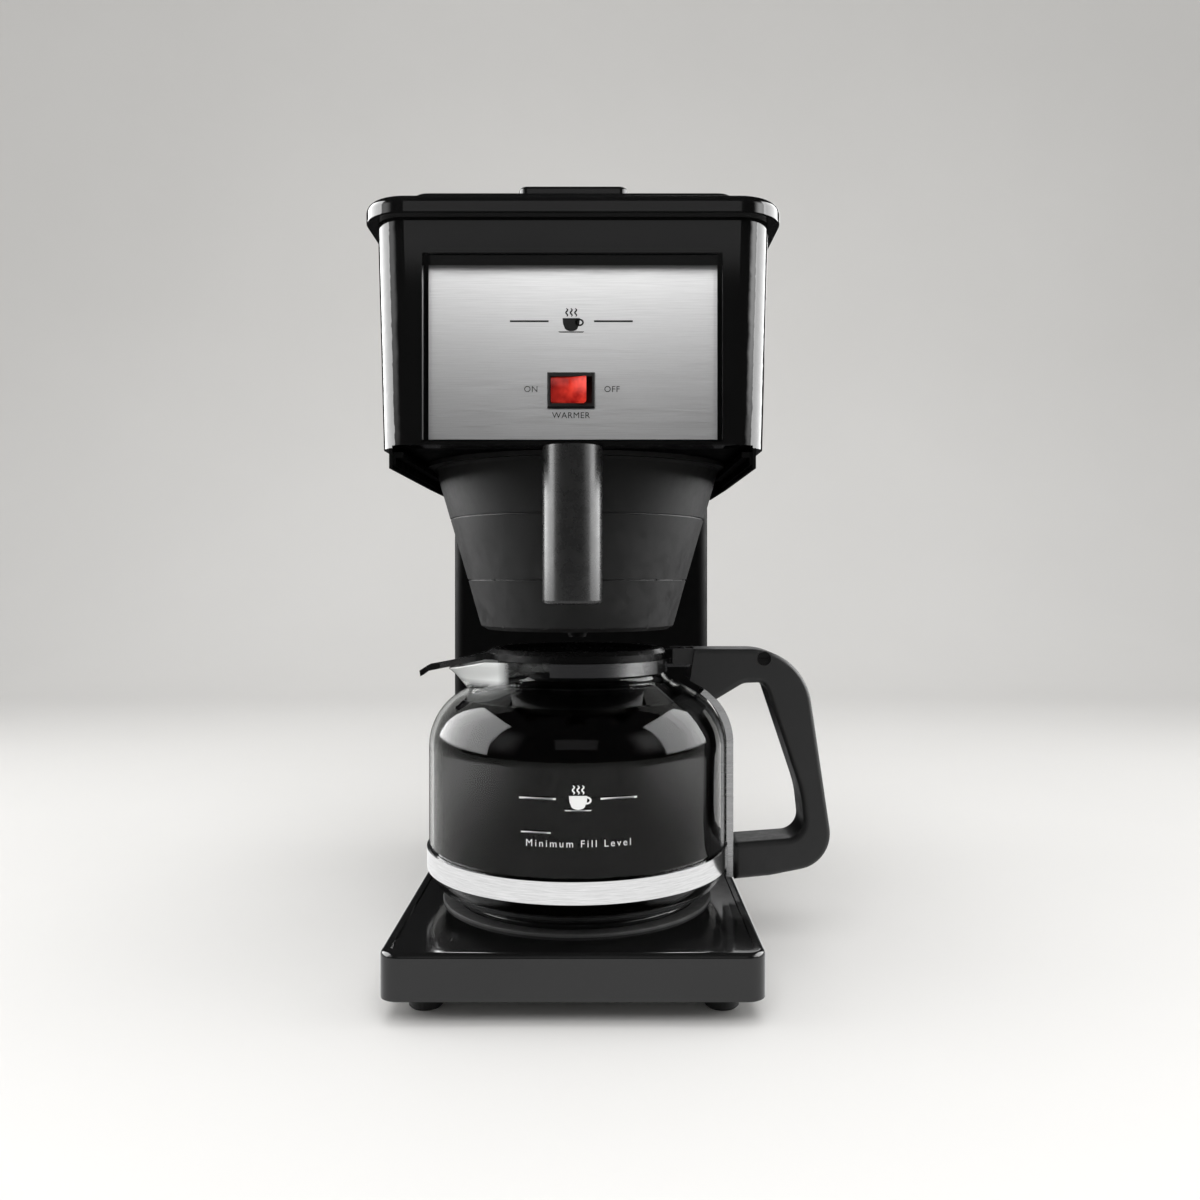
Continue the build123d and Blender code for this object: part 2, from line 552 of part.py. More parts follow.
# ---- carafe ----
def glass_outline(offset):
    """The glass's outer outline from the bottom's edge to the neck, moved in by offset."""
    r = GLASS_RADIUS - offset
    bottom = GLASS_BOTTOM + offset
    neck = NECK_RADIUS - offset
    low_shoulder = SHOULDER_Z - 0.1 * offset
    d = 0.72 * offset
    return [
        ThreePointArc((62 - 0.3 * offset, 0, bottom), (73.2 - d, 0, 41.4 + d), (r, 0, 53)),
        Line((r, 0, 53), (r, 0, low_shoulder)),
        ThreePointArc((r, 0, low_shoulder), (74.3 - 0.9 * offset, 0, 126.8 - 0.45 * offset),
                      (64.2 - d, 0, 138.2 - d)),
        Line((64.2 - d, 0, 138.2 - d), (51 - 0.5 * offset, 0, 146.0 - 0.86 * offset)),
        ThreePointArc((51 - 0.5 * offset, 0, 146.0 - 0.86 * offset),
                      (47.2 - 0.8 * offset, 0, 148.9 - 0.5 * offset), (neck, 0, 153)),
    ]


def glass_solid(offset, top):
    edges = glass_outline(offset)
    start = edges[0] @ 0
    neck = NECK_RADIUS - offset
    edges += [Line((neck, 0, 153), (neck, 0, top)), Line((neck, 0, top), (0, 0, top)),
              Line((0, 0, top), (0, 0, start.Z)), Line((0, 0, start.Z), (start.X, 0, start.Z))]
    return turned(*edges)


def spout_solid(offset):
    """The pouring lip: circles drawn out towards -X, more and more with height."""
    rings = []
    for z, base, reach in ((139.0, 55.0, 3.0), (143.0, 50.0, 9.5), (147.0, 47.0, 16.0),
                           (150.5, NECK_RADIUS - 0.3, 21.0), (153.0, NECK_RADIUS - 0.3, 24.6),
                           (158.5, NECK_RADIUS - 0.3, 28.0)):
        points = []
        for step in range(24):
            angle = 2 * pi * step / 24
            r = base - offset + reach * max(0.0, -cos(angle)) ** 5
            points.append((r * cos(angle), r * sin(angle)))
        rings.append(Pos(0, 0, z) * make_face(Spline(*points, periodic=True)))
    return loft(rings)


def lip_height(x):
    """The height of the lip's plane, which falls away towards the spout."""
    return NECK_TOP - LIP_SLOPE * max(0.0, -x - NECK_RADIUS)


def make_glass():
    outer = glass_solid(0, NECK_TOP + 1.5) + spout_solid(0)
    inner = glass_solid(GLASS_WALL, NECK_TOP + 3) + spout_solid(GLASS_WALL)
    glass = outer - inner
    cut = Polyline((60, 0, NECK_TOP), (-NECK_RADIUS, 0, NECK_TOP), (-90, 0, lip_height(-90)),
                   (-90, 0, 175), (60, 0, 175), close=True)
    glass -= slab(make_face(cut), 80)
    lip = glass.edges().filter_by(lambda edge: edge.center().Z > lip_height(edge.center().X) - 0.6)
    glass = fillet(lip, LIP_ROUNDING)
    nodes["carafe_glass"] = glass

    band = ring(GLASS_RADIUS + 0.1, GLASS_RADIUS + 1.1, 50, 60.5)
    nodes["base_band"] = band
    collar = ring(NECK_RADIUS + 0.9, NECK_RADIUS + 1.9, 150.6, 157.2)
    open_angle = radians(75)
    reach = 90
    x, y = -reach * cos(open_angle), reach * sin(open_angle)
    wedge = Polyline((0, 0), (x, y), (-reach, reach), (-reach, -reach), (x, -y), close=True)
    collar -= Pos(0, 0, 140) * extrude(make_face(wedge), 30)
    tongue = block(NECK_RADIUS + 1.2, 64, -1.2, 1.2, 152.2, 153.9)
    tongue += block(62.5, 102, -1.2, 1.2, 152.2, 160.4)
    tongue -= rod_y(1.6 + FIT, -5, 5, *HANDLE_SCREW)
    nodes["neck_band"] = collar + tongue


def glass_clearance(gap):
    """Room for the glass, wider than it by gap."""
    return glass_solid(-gap, 153.2)


def make_handle():
    corners = (
        (61.5, HANDLE_TOP, 0), (118.3, HANDLE_TOP, 32), (HANDLE_REACH + 2.4, 50.9, 19), (101, 44.2, 30),
        (82.1, 42.3, 0), (82.1, 61.4, 0), (119.5, 64.2, 9.5), (117, 88, 60), (108, 115, 60),
        (98, 144.9, 5), (87, 144.5, 8), (70.4, 134.5, 0), (58, 140, 0))
    plate = make_face(Polyline(*[(x, 0, z) for x, z, radius in corners], close=True))
    for x, z, radius in corners:
        if radius:
            corner = plate.vertices().sort_by_distance(Vector(x, 0, z))[0]
            plate = fillet([corner], radius)
    handle = slab(plate, HANDLE_HALF)
    face_edges = handle.edges().filter_by(lambda edge: abs(abs(edge.center().Y) - HANDLE_HALF) < 0.01)
    handle = fillet(face_edges.filter_by(along_finger_opening), OPENING_ROUNDING)
    face_edges = handle.edges().filter_by(lambda edge: abs(abs(edge.center().Y) - HANDLE_HALF) < 0.01)
    handle = fillet(face_edges.filter_by(along_outer_side), HANDLE_ROUNDING)
    handle += block(50, 66, -11, 11, 154.2, HANDLE_TOP)
    handle -= glass_clearance(0.6)
    handle -= glass_clearance(4.8) & block(50, 90, -20, 20, 61, 153)
    handle -= glass_clearance(4.8) & block(50, 90, -9.3, 9.3, 0, 62)
    handle -= ring(0, NECK_RADIUS + 2.2, 150.2, 157.6)
    handle -= block(40, 62.0, -7.4, 7.4, 154.0, 170)
    handle -= block(40, 103, -1.35, 1.35, 151.8, 160.8)
    x, z = CARAFE_HINGE
    handle -= rod_y(1.52, -10, 10, x, z)
    handle -= block(80, 96.4, -3.2, 3.2, BAND_SCREW[1] - 5.2, BAND_SCREW[1] + 5.2)
    nodes["carafe_lid_pin"] = rod_y(1.5, -9.9, 9.9, x, z)
    for name, front, place in (("handle_screw", -1, HANDLE_SCREW), ("band_clamp_screw", 1, BAND_SCREW)):
        handle -= y_span(1.6 + FIT, -12 * front, 12 * front, place)
        handle -= y_span(3.6, 10.4 * front, 14 * front, place)
        slot = block(place[0] - 2.6, place[0] + 2.6, *sorted((11.6 * front, 13 * front)),
                     place[1] - 0.45, place[1] + 0.45)
        head = y_span(3.4, 10.4 * front, 12.2 * front, place) - slot
        nodes[name] = head + y_span(1.6, -11 * front, 10.4 * front, place)
    nodes["carafe_handle"] = handle


def y_span(radius, y0, y1, place):
    """A rod along Y through a point of the XZ plane, between two values in either order."""
    return rod_y(radius, *sorted((y0, y1)), *place)


def along_finger_opening(edge):
    """Whether an edge of the handle's faces borders the room for the fingers."""
    middle = edge.center()
    return 72 < middle.X < 119.6 and 61.0 < middle.Z < 145.5


def along_outer_side(edge):
    middle = edge.center()
    return middle.X > 80 and (middle.X > 119.6 or middle.Z > 146 or 42.4 < middle.Z < 55)


def make_spine():
    lower = 42.6
    outer_x = GLASS_RADIUS + 4.0
    inner_x = GLASS_RADIUS + 0.4
    outline = [
        Line((inner_x, 0, lower), (outer_x, 0, lower)), Line((outer_x, 0, lower), (outer_x, 0, 112.6)),
        ThreePointArc((outer_x, 0, 112.6), (78.2, 0, 128.8), (67.0, 0, 141.2)),
        Line((67.0, 0, 141.2), (64.6, 0, 138.8)),
        ThreePointArc((64.6, 0, 138.8), (74.8, 0, 127.2), (inner_x, 0, 112.2)),
        Line((inner_x, 0, 112.2), (inner_x, 0, lower)),
    ]
    strap = slab(make_face(outline), 9)
    strap -= glass_clearance(0.3)
    strap -= ring(0, GLASS_RADIUS + 1.3, 49.6, 60.9)
    tab = block(GLASS_RADIUS + 2, 95.6, -3, 3, BAND_SCREW[1] - 4.8, BAND_SCREW[1] + 4.8)
    tab -= rod_y(1.6 + FIT, -5, 5, *BAND_SCREW)
    nodes["handle_spine"] = strap + tab


def make_carafe_lid():
    x, z = CARAFE_HINGE
    lid = turned_outline((5.5, 157.8), (30, 158.4), (38, 160.6), (41, 162.8), (45, 162.8), (47.4, 160.8),
                         (47.4, 157.5), (42.6, 157.5), (42.0, 152.6), (40.0, 152.6), (39.6, 156.0),
                         (5.5, 155.6))
    under = NECK_TOP + 0.6
    blade_side = Polyline((-36, 0, under), (-NECK_RADIUS - 1, 0, under), (-66, 0, lip_height(-66) + 0.6),
                          (-79, 0, 150.4), (-82.7, 0, 147.6), (-83.2, 0, 150.6), (-79, 0, 153.4),
                          (-66, 0, 155.6), (-NECK_RADIUS, 0, 160.6), (-36, 0, 160.6), close=True)
    blade_top = Polyline((-36, 24), (-52, 19), (-72, 8.5), (-80, 6.5), (-84, 6), (-84, -6), (-80, -6.5),
                         (-72, -8.5), (-52, -19), (-36, -24), close=True)
    blade = slab(make_face(blade_side), 40) & (Pos(0, 0, 140) * extrude(make_face(blade_top), 30))
    lid += blade - disc(39, 140, 158.8)
    lid += block(40, x, -7, 7, 157.5, 161.8) - disc(42.8, 140, 170)
    lid += rod_y(4.0, -7, 7, x, z)
    lid -= rod_y(1.5 + FIT, -8, 8, x, z)
    nodes["carafe_lid"] = lid


make_base()
make_warmer()
make_tower()
make_hood()
make_rim()
make_lid()
make_basin()
make_tank()
make_sprayhead()
make_switches()
make_funnel()
make_glass()
make_handle()
make_spine()
make_carafe_lid()

os.makedirs("parts", exist_ok=True)
for name, shape in nodes.items():
    export_step(TO_ORIGIN * shape, "parts/" + name + ".step")
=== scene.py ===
import json
from math import atan2, cos, pi, radians, sin, sqrt

import bmesh
import bpy
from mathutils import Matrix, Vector


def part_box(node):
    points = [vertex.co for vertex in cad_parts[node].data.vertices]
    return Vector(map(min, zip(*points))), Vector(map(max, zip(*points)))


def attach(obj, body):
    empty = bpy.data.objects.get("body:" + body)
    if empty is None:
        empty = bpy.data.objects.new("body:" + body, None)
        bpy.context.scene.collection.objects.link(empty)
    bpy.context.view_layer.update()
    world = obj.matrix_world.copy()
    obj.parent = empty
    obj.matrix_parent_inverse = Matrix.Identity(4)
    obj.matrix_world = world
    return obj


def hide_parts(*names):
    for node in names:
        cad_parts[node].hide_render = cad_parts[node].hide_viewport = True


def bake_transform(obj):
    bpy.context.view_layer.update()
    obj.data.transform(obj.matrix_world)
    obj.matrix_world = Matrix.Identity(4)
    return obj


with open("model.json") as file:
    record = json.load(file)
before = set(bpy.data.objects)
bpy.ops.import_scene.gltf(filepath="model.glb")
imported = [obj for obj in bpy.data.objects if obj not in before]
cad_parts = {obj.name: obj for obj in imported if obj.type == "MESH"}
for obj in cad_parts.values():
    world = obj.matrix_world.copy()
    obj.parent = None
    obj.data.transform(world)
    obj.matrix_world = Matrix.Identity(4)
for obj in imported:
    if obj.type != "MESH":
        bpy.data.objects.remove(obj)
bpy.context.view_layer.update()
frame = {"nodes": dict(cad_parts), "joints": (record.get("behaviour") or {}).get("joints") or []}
nodes = frame["nodes"]

# ---- places taken from the frame, in metres ----
MM = 0.001
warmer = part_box("warmer_plate")
AXIS_X = (warmer[0].x + warmer[1].x) / 2  # the carafe's and the funnel's axis
AXIS_Y = (warmer[0].y + warmer[1].y) / 2
PANEL_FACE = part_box("front_panel")[0].y


def at(x, y, z):
    """A point given in millimetres about the carafe's axis, in the row frame in metres."""
    return Vector((AXIS_X + x * MM, AXIS_Y + y * MM, z * MM))


# ---- materials ----
class Shader:
    """A principled material and short calls that add procedural detail to it."""

    def __init__(self, name, **sockets):
        self.material = bpy.data.materials.new(name)
        self.material.use_nodes = True
        self.tree = self.material.node_tree
        self.tree.nodes.clear()
        out = self.add("ShaderNodeOutputMaterial")
        self.bsdf = self.add("ShaderNodeBsdfPrincipled")
        self.link(self.bsdf.outputs["BSDF"], out.inputs["Surface"])
        self.coordinates = self.add("ShaderNodeTexCoord").outputs["Object"]
        for key, value in sockets.items():
            self.bsdf.inputs[key.replace("_", " ")].default_value = value

    def add(self, kind, **fields):
        node = self.tree.nodes.new(kind)
        for key, value in fields.items():
            setattr(node, key, value)
        return node

    def link(self, a, b):
        self.tree.links.new(a, b)

    def stretched(self, sx, sy, sz):
        node = self.add("ShaderNodeMapping")
        node.inputs["Scale"].default_value = (sx, sy, sz)
        self.link(self.coordinates, node.inputs["Vector"])
        return node.outputs["Vector"]

    def noise(self, scale, detail=3.0, rough=0.5, vector=None):
        node = self.add("ShaderNodeTexNoise")
        node.inputs["Scale"].default_value = scale
        node.inputs["Detail"].default_value = detail
        node.inputs["Roughness"].default_value = rough
        self.link(vector or self.coordinates, node.inputs["Vector"])
        return node.outputs["Fac"]

    def ramp(self, fac, low, high, start=0.3, end=0.7):
        """Maps fac from start..end to low..high; low and high are numbers or colours."""
        if isinstance(low, (int, float)):
            node = self.add("ShaderNodeMapRange")
            for key, value in (("From Min", start), ("From Max", end), ("To Min", low), ("To Max", high)):
                node.inputs[key].default_value = value
            self.link(fac, node.inputs["Value"])
            return node.outputs["Result"]
        node = self.add("ShaderNodeValToRGB")
        node.color_ramp.elements[0].position = start
        node.color_ramp.elements[0].color = (*low, 1)
        node.color_ramp.elements[1].position = end
        node.color_ramp.elements[1].color = (*high, 1)
        self.link(fac, node.inputs["Fac"])
        return node.outputs["Color"]

    def set(self, socket, value):
        self.link(value, self.bsdf.inputs[socket])

    def bump(self, height, strength, distance):
        node = self.add("ShaderNodeBump")
        node.inputs["Strength"].default_value = strength
        node.inputs["Distance"].default_value = distance
        self.link(height, node.inputs["Height"])
        self.link(node.outputs["Normal"], self.bsdf.inputs["Normal"])


def grey(value):
    return (value, value, value)


def plastic(name, shade, rough, grain, depth, specular=0.5, spread=0.25):
    """Moulded plastic: a slight drift of shade and gloss, and a moulded grain of that depth in metres."""
    s = Shader(name, Specular_IOR_Level=specular, IOR=1.5)
    drift = s.noise(22.0, 4.0, 0.6)
    s.set("Base Color", s.ramp(drift, grey(shade * (1 - spread)), grey(shade * (1 + spread))))
    wear = s.noise(160.0, 5.0, 0.65)
    s.set("Roughness", s.ramp(wear, rough * 0.85, rough * 1.2))
    s.bump(s.noise(grain, 2.0, 0.5), 0.35, depth)
    return s.material


def metal(name, shade, rough, along, fine, anisotropy=0.0):
    """Metal with brush lines along one direction: along is the stretch of the lines on X, Y and Z."""
    s = Shader(name, Metallic=1.0, Anisotropic=anisotropy)
    lines = s.noise(fine, 4.0, 0.7, s.stretched(*along))
    s.set("Base Color", s.ramp(lines, grey(shade * 0.86), grey(min(1.0, shade * 1.08))))
    s.set("Roughness", s.ramp(lines, rough * 1.25, rough * 0.8))
    s.bump(lines, 0.25, 0.00002)
    return s.material


def make_materials():
    m = {}
    m["shell_black"] = plastic("hood_gloss", 0.0028, 0.075, 900.0, 0.000006)
    m["base_gloss"] = plastic("base_gloss", 0.005, 0.10, 700.0, 0.000008)
    m["plastic_black"] = plastic("inner_plastic", 0.008, 0.34, 1400.0, 0.00002)
    m["rubber_black"] = plastic("rubber", 0.018, 0.72, 900.0, 0.00004)
    m["silicone"] = plastic("silicone", 0.32, 0.5, 500.0, 0.00002)
    m["funnel_black"] = plastic("funnel_black", 0.011, 0.5, 2600.0, 0.00003, 0.5)
    m["tower_black"] = plastic("tower_black", 0.0016, 0.5, 2200.0, 0.00002, 0.1)
    m["screw_black"] = plastic("screw_black", 0.006, 0.3, 900.0, 0.00001)
    m["funnel_grip"] = plastic("funnel_grip", 0.0085, 0.27, 1800.0, 0.00001, 0.45)
    m["handle_black"] = plastic("handle_black", 0.0055, 0.45, 2400.0, 0.00002, 0.4)
    m["carafe_lid_black"] = plastic("carafe_lid_black", 0.003, 0.25, 1400.0, 0.00001, 0.3)
    m["tube_clear"] = plastic("milky_tube", 0.55, 0.35, 600.0, 0.00001)
    m["warmer_coating"] = plastic("warmer_coating", 0.006, 0.17, 3200.0, 0.00001)
    m["steel_brushed"] = metal("steel_brushed", 0.62, 0.36, (40.0, 40.0, 2600.0), 1.0, 0.3)
    m["steel_polished"] = metal("steel_polished", 0.74, 0.16, (60.0, 60.0, 1600.0), 1.5)
    m["steel_dim"] = metal("steel_dim", 0.34, 0.24, (30.0, 30.0, 700.0), 2.0)
    m["steel_plain"] = metal("steel_plain", 0.52, 0.33, (200.0, 200.0, 200.0), 2.0)
    m["brass_blades"] = metal("brass", 0.5, 0.3, (200.0, 200.0, 200.0), 2.0)

    s = Shader("carafe_glass", Transmission_Weight=1.0, IOR=1.3, Roughness=0.0)
    ripple = s.noise(9.0, 2.0, 0.4)
    s.set("Base Color", s.ramp(ripple, (0.93, 0.96, 0.955), (1.0, 1.0, 1.0)))
    s.bump(ripple, 0.06, 0.0006)
    place = s.add("ShaderNodeSeparateXYZ")
    s.link(s.coordinates, place.inputs["Vector"])
    painted_lip_highlight = at(-33.0, 0, 144.0)  # where the pouring spout's thick glass is whitened as a painted highlight
    left = s.ramp(place.outputs["X"], 1.0, 0.0, painted_lip_highlight.x - 0.006, painted_lip_highlight.x)
    high = s.ramp(place.outputs["Z"], 0.0, 1.0, painted_lip_highlight.z, painted_lip_highlight.z + 0.004)
    both = s.add("ShaderNodeMath", operation="MULTIPLY")
    s.link(left, both.inputs[0])
    s.link(high, both.inputs[1])
    # Painted highlight: less transmission here, placed by position, turns the glass a milky white at the
    # spout.
    s.set("Transmission Weight", s.ramp(both.outputs["Value"], 1.0, 0.25, 0.0, 1.0))
    m["carafe_glass"] = s.material

    s = Shader("rocker_red", Roughness=0.14, IOR=1.5)
    cloud = s.noise(170.0, 2.0, 0.5)
    s.set("Base Color", s.ramp(cloud, (0.14, 0.003, 0.002), (0.30, 0.012, 0.009)))
    s.set("Emission Color", s.ramp(cloud, (0.12, 0.002, 0.002), (0.50, 0.036, 0.02)))
    along = s.add("ShaderNodeSeparateXYZ")
    s.link(s.coordinates, along.inputs["Vector"])
    s.set("Emission Strength", s.ramp(along.outputs["X"], 0.05, 1.35, -0.0078, 0.0035))
    m["rocker_red"] = s.material
    return m


def make_extra_materials():
    """Finishes of pieces that the CAD model doesn't have."""
    m = {}
    m["print_white"] = plastic("print_white", 0.78, 0.5, 1500.0, 0.00001, spread=0.05)
    m["print_black"] = plastic("print_black", 0.006, 0.42, 1500.0, 0.00001)
    s = Shader("coffee", IOR=1.05, Specular_IOR_Level=0.1)
    cloud = s.noise(14.0, 3.0)
    s.set("Base Color", s.ramp(cloud, (0.0022, 0.0018, 0.0015), (0.0034, 0.0027, 0.0022)))
    s.set("Roughness", s.ramp(cloud, 0.06, 0.12))
    m["coffee"] = s.material
    return m


MATERIALS = make_materials()
EXTRA = make_extra_materials()


def dress_frame():
    """Every CAD node gets the finish of its slot, but the spine is a duller steel."""
    for name, obj in nodes.items():
        for place in obj.material_slots:
            slot = "steel_dim" if name == "handle_spine" else place.material.name.split(".")[0]
            place.material = MATERIALS.get(slot, MATERIALS["plastic_black"])


dress_frame()


# ---- mesh helpers ----
def add_object(name, data, body, slot):
    obj = bpy.data.objects.new(name, data)
    bpy.context.scene.collection.objects.link(obj)
    obj.data.materials.append(MATERIALS[slot] if slot in MATERIALS else EXTRA[slot])
    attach(obj, body)
    return obj


def smooth(mesh, angle=35.0):
    """Smooth shading that keeps edges sharper than the angle."""
    for face in mesh.polygons:
        face.use_smooth = True
    mesh.set_sharp_from_angle(angle=radians(angle))


def arc(p0, p1, p2, count):
    """Points on the circle through three points of a plane, from the first to the last."""
    (ax, ay), (bx, by), (cx, cy) = p0, p1, p2
    d = 2 * (ax * (by - cy) + bx * (cy - ay) + cx * (ay - by))
    ux = ((ax**2 + ay**2) * (by - cy) + (bx**2 + by**2) * (cy - ay) + (cx**2 + cy**2) * (ay - by)) / d
    uy = ((ax**2 + ay**2) * (cx - bx) + (bx**2 + by**2) * (ax - cx) + (cx**2 + cy**2) * (bx - ax)) / d
    r = sqrt((ax - ux) ** 2 + (ay - uy) ** 2)
    a0 = atan2(ay - uy, ax - ux)
    a2 = atan2(cy - uy, cx - ux)
    turn = (a2 - a0 + pi) % (2 * pi) - pi
    steps = [a0 + turn * k / count for k in range(count + 1)]
    return [(ux + r * cos(a), uy + r * sin(a)) for a in steps]


def turned_mesh(name, outline, segments=128):
    """A closed solid turned about the carafe's axis from (radius, height) points in millimetres.
    The outline starts and ends on the axis."""
    bm = bmesh.new()
    rows = []
    for r, z in outline:
        if r < 1e-6:
            rows.append([bm.verts.new(at(0, 0, z))])
        else:
            rows.append([bm.verts.new(at(r * cos(2 * pi * k / segments), r * sin(2 * pi * k / segments), z))
                         for k in range(segments)])
    for low, high in zip(rows, rows[1:]):
        for k in range(segments):
            n = (k + 1) % segments
            corners = [low[k % len(low)], low[n % len(low)], high[n % len(high)], high[k % len(high)]]
            unique = list(dict.fromkeys(corners))
            if len(unique) > 2:
                bm.faces.new(unique)
    bmesh.ops.recalc_face_normals(bm, faces=bm.faces)
    mesh = bpy.data.meshes.new(name)
    bm.to_mesh(mesh)
    bm.free()
    return mesh


def flat_print(name, outlines, thickness, mapping):
    """A thin closed print from flat outlines, where a smaller outline inside another is a hole.
    mapping takes (u, v, w) in millimetres to a point."""
    curve = bpy.data.curves.new(name, "CURVE")
    curve.dimensions = "2D"
    curve.fill_mode = "BOTH"
    curve.extrude = thickness / 2
    for outline in outlines:
        spline = curve.splines.new("POLY")
        spline.points.add(len(outline) - 1)
        for point, (u, v) in zip(spline.points, outline):
            point.co = (u, v, 0, 1)
        spline.use_cyclic_u = True
    return mapped_mesh(name, curve, mapping)


def text_print(name, words, size, thickness, mapping, spacing):
    curve = bpy.data.curves.new(name, "FONT")
    curve.body = words
    curve.size = size
    curve.align_x = "CENTER"
    curve.align_y = "CENTER"
    curve.extrude = thickness / 2
    curve.space_character = spacing
    curve.resolution_u = 4
    return mapped_mesh(name, curve, mapping)


def mapped_mesh(name, curve, mapping):
    holder = bpy.data.objects.new(name + "_curve", curve)
    bpy.context.scene.collection.objects.link(holder)
    bpy.context.view_layer.update()
    graph = bpy.context.evaluated_depsgraph_get()
    mesh = bpy.data.meshes.new_from_object(holder.evaluated_get(graph))
    bpy.data.objects.remove(holder)
    bpy.data.curves.remove(curve)
    bm = bmesh.new()
    bm.from_mesh(mesh)
    bmesh.ops.remove_doubles(bm, verts=bm.verts, dist=0.001)
    for vert in bm.verts:
        vert.co = mapping(*vert.co)
    bmesh.ops.recalc_face_normals(bm, faces=bm.faces)
    bm.to_mesh(mesh)
    bm.free()
    mesh.name = name
    mesh.materials.clear()
    return mesh


def joined(meshes, name):
    bm = bmesh.new()
    for mesh in meshes:
        bm.from_mesh(mesh)
        bpy.data.meshes.remove(mesh)
    mesh = bpy.data.meshes.new(name)
    bm.to_mesh(mesh)
    bm.free()
    return mesh


def ribbon(points, width):
    """The outline of a stroke of that width along a line of points, with pointed ends."""
    left, right = [], []
    for k, (x, y) in enumerate(points):
        x0, y0 = points[max(k - 1, 0)]
        x1, y1 = points[min(k + 1, len(points) - 1)]
        length = sqrt((x1 - x0) ** 2 + (y1 - y0) ** 2)
        nx, ny = (y0 - y1) / length, (x1 - x0) / length
        half = width / 2 * min(1.0, 0.35 + 4 * min(k, len(points) - 1 - k) / len(points))
        left.append((x + nx * half, y + ny * half))
        right.append((x - nx * half, y - ny * half))
    return left + right[::-1]


def cup_outlines(scale, u0, v0):
    """A cup with three wisps of steam, about a centre, in units of its half height."""
    foot = [(0.52 * cos(a) * 1.05, -0.55 + 0.32 * sin(a)) for a in [pi + pi * k / 16 for k in range(17)]]
    bowl = [(-0.70, 0.18), (-0.66, -0.30), *foot, (0.66, -0.30), (0.70, 0.18)]

    def loop(x, rx, ry, count):
        return [(x + rx * cos(a), -0.17 + ry * sin(a)) for a in [2 * pi * k / count for k in range(count)]]

    handle_out = loop(0.66, 0.36, 0.30, 28)
    handle_in = loop(0.68, 0.20, 0.16, 24)
    saucer = [(-0.95, -0.98), (0.95, -0.98), (1.05, -0.90), (-1.05, -0.90)]
    wisps = []
    for dx in (-0.36, 0.0, 0.36):
        line = [(dx + 0.07 * sin(3.2 * pi * k / 16), 0.30 + 0.68 * k / 16) for k in range(17)]
        wisps.append(ribbon(line, 0.12))
    parts = [[bowl], [handle_out, handle_in], [saucer]] + [[w] for w in wisps]
    return [[[(u0 + scale * x, v0 + scale * y) for x, y in outline] for outline in part] for part in parts]


def bar(u0, u1, v, height):
    """A long thin bar with enough points to follow a curved surface."""
    steps = 24
    low = [(u0 + (u1 - u0) * k / steps, v - height / 2) for k in range(steps + 1)]
    high = [(u, v + height / 2) for u, _ in low]
    return low + high[::-1]


# ---- the carafe's contents and prints ----
GLASS_OUTER = 78.0
INSIDE = 2.35  # from the glass's outer face to the coffee
GLASS_PRINT_GAP = 0.09
PRINT_GAP = 0.05  # from the panel's face to its print
GLASS_PRINT = 0.08  # thickness of the prints
PANEL_PRINT = 0.06
PANEL_LETTER = 3.9


def make_coffee():
    """Brewed coffee up to the shoulder, with the liquid drawn up a little at the glass."""
    d = 0.72 * INSIDE
    r = GLASS_OUTER - INSIDE
    low = arc((62 - 0.3 * INSIDE, 36.5 + INSIDE), (73.2 - d, 41.4 + d), (r, 53), 14)
    shoulder = arc((r, 112 - 0.1 * INSIDE), (74.3 - 0.9 * INSIDE, 126.8 - 0.45 * INSIDE),
                   (64.2 - d, 138.2 - d), 18)
    top = shoulder[-1][1]
    edge = shoulder[-1][0]
    surface = [(edge - 0.8, top - 0.25), (edge - 1.8, top - 0.75), (edge - 3.4, top - 1.05),
               (edge - 6.0, top - 1.2)]
    outline = [(0, low[0][1])] + low + shoulder + surface + [(0, top - 1.2)]
    mesh = turned_mesh("coffee", outline)
    smooth(mesh, 40)
    add_object("coffee", mesh, "carafe", "coffee")


def on_glass(u, v, w):
    """Wraps a flat print around the front of the glass."""
    r = GLASS_OUTER + GLASS_PRINT_GAP + w
    angle = u / GLASS_OUTER
    return at(r * sin(angle), -r * cos(angle), v)


def make_glass_prints():
    """A cup mark, a fill line and its words, in white on the front of the glass."""
    t = GLASS_PRINT
    meshes = []
    for k, part in enumerate(cup_outlines(6.0, 2.2, 98.6)):
        meshes.append(flat_print(f"mark_{k}", part, t, on_glass))
    for k, (u0, u1) in enumerate(((-25.5, -8.0), (12.5, 30.0))):
        meshes.append(flat_print(f"mark_bar_{k}", [bar(u0, u1, 98.2, 0.9)], t, on_glass))
    meshes.append(flat_print("fill_line", [bar(-24.6, -10.4, 82.6, 0.7)], t, on_glass))
    meshes.append(text_print("fill_words", "Minimum Fill Level", 4.6, t,
                             lambda u, v, w: on_glass(u + 2.4, v + 77.6, w), 1.38))
    add_object("glass_prints", joined(meshes, "glass_prints"), "carafe", "print_white")


def make_panel_prints():
    """A cup mark and the switch's words on the steel panel."""
    def on_panel(u, v, w):
        return Vector((AXIS_X + u * MM, PANEL_FACE - (PRINT_GAP + w) * MM, v * MM))

    t = PANEL_PRINT
    meshes = []
    for k, part in enumerate(cup_outlines(5.6, -0.8, 315.6)):
        meshes.append(flat_print(f"badge_{k}", part, t, on_panel))
    for k, (u0, u1) in enumerate(((-28.5, -11.0), (9.5, 27.0))):
        meshes.append(flat_print(f"badge_bar_{k}", [bar(u0, u1, 315.2, 0.8)], t, on_panel))
    for words, u, v in (("ON", -19.0, 284.4), ("OFF", 17.6, 284.4), ("WARMER", -0.9, 272.6)):
        meshes.append(text_print(words, words, PANEL_LETTER, t,
                                 lambda a, b, w, u=u, v=v: on_panel(u + a, v + b, w), 1.08))
    add_object("panel_prints", joined(meshes, "panel_prints"), "root", "print_black")


